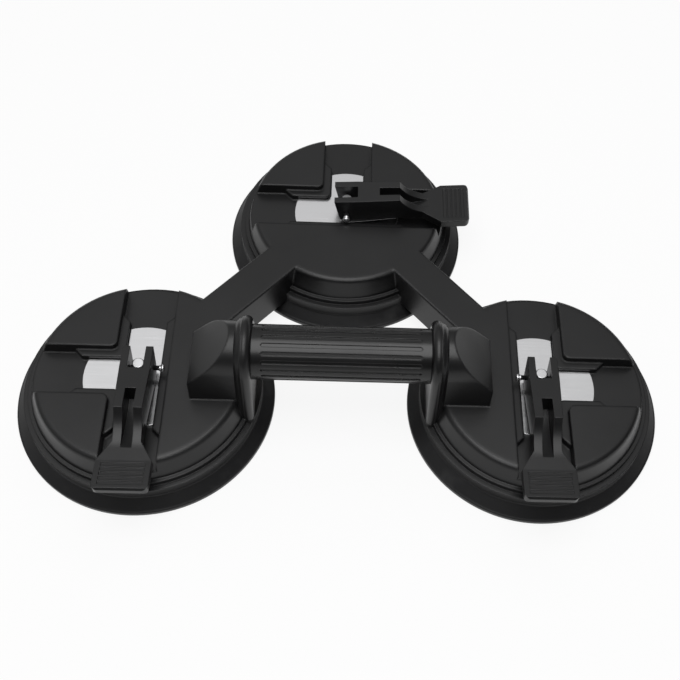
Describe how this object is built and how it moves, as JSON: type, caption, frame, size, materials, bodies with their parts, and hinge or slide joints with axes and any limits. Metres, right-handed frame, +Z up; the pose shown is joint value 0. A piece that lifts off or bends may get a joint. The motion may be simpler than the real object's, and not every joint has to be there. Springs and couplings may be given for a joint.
{
  "type": "triple-cup suction lifter",
  "caption": "Triangular suction lifter for floor tiles: rubber vacuum cups under stepped round housings, cam levers, steel wear plates and a fluted grip between two posts.",
  "frame": {"origin": "on the floor, under the middle of the whole lifter", "axes": "+X to the right along the handle, +Y from the pair of front cups to the single back cup, +Z up"},
  "size_m": [0.298, 0.219, 0.0596],
  "materials": {
    "housing": "satin moulded black",
    "grip": "fluted satin black",
    "lever": "satin moulded black",
    "cup_rubber": "smooth black rubber",
    "plate_steel": "bright brushed",
    "zinc_steel": "bright zinc plated",
    "spring_steel": "oiled spring steel"
  },
  "bodies": {
    "frame": {"body_frame": "housing", "handle_grip": "grip", "handle_core": "zinc_steel", "handle_screws": "zinc_steel", "rubber_cup_left": "cup_rubber", "return_spring_left": "spring_steel", "wear_plate_left": "plate_steel", "rubber_cup_right": "cup_rubber", "return_spring_right": "spring_steel", "wear_plate_right": "plate_steel", "rubber_cup_back": "cup_rubber", "return_spring_back": "spring_steel", "wear_plate_back": "plate_steel"},
    "left_stud": {"pull_disc_left": "zinc_steel", "stud_left": "zinc_steel", "lever_pin_left": "zinc_steel"},
    "left_lever": {"lever_left": "lever"},
    "right_stud": {"pull_disc_right": "zinc_steel", "stud_right": "zinc_steel", "lever_pin_right": "zinc_steel"},
    "right_lever": {"lever_right": "lever"},
    "back_stud": {"pull_disc_back": "zinc_steel", "stud_back": "zinc_steel", "lever_pin_back": "zinc_steel"},
    "back_lever": {"lever_back": "lever"}
  },
  "joints": [
    {"name": "left_cup_lift", "type": "slide", "parent": "frame", "child": "left_stud", "axis": [0, 0, -1], "range_m": [0, 0.0025], "deforming": ["return_spring_left", "rubber_cup_left"]},
    {"name": "right_cup_lift", "type": "slide", "parent": "frame", "child": "right_stud", "axis": [0, 0, -1], "range_m": [0, 0.0025], "deforming": ["return_spring_right", "rubber_cup_right"]},
    {"name": "back_cup_lift", "type": "slide", "parent": "frame", "child": "back_stud", "axis": [0, 0, -1], "range_m": [0, 0.0025], "deforming": ["return_spring_back", "rubber_cup_back"]},
    {"name": "left_lever_hinge", "type": "hinge", "parent": "left_stud", "child": "left_lever", "pos_m": [-0.09, -0.0485, 0.028], "axis": [-1, 0, 0], "range_deg": [0, 79]},
    {"name": "right_lever_hinge", "type": "hinge", "parent": "right_stud", "child": "right_lever", "pos_m": [0.09, -0.0485, 0.028], "axis": [-1, 0, 0], "range_deg": [0, 79]},
    {"name": "back_lever_hinge", "type": "hinge", "parent": "back_stud", "child": "back_lever", "pos_m": [0, 0.0505, 0.028], "axis": [0, -1, 0], "range_deg": [0, 79]}
  ],
  "couplings": [
    {"joint": "left_lever_hinge", "follows": "left_cup_lift", "rad_per_m": 544.5},
    {"joint": "right_lever_hinge", "follows": "right_cup_lift", "rad_per_m": 544.5},
    {"joint": "back_lever_hinge", "follows": "back_cup_lift", "rad_per_m": 544.5}
  ]
}
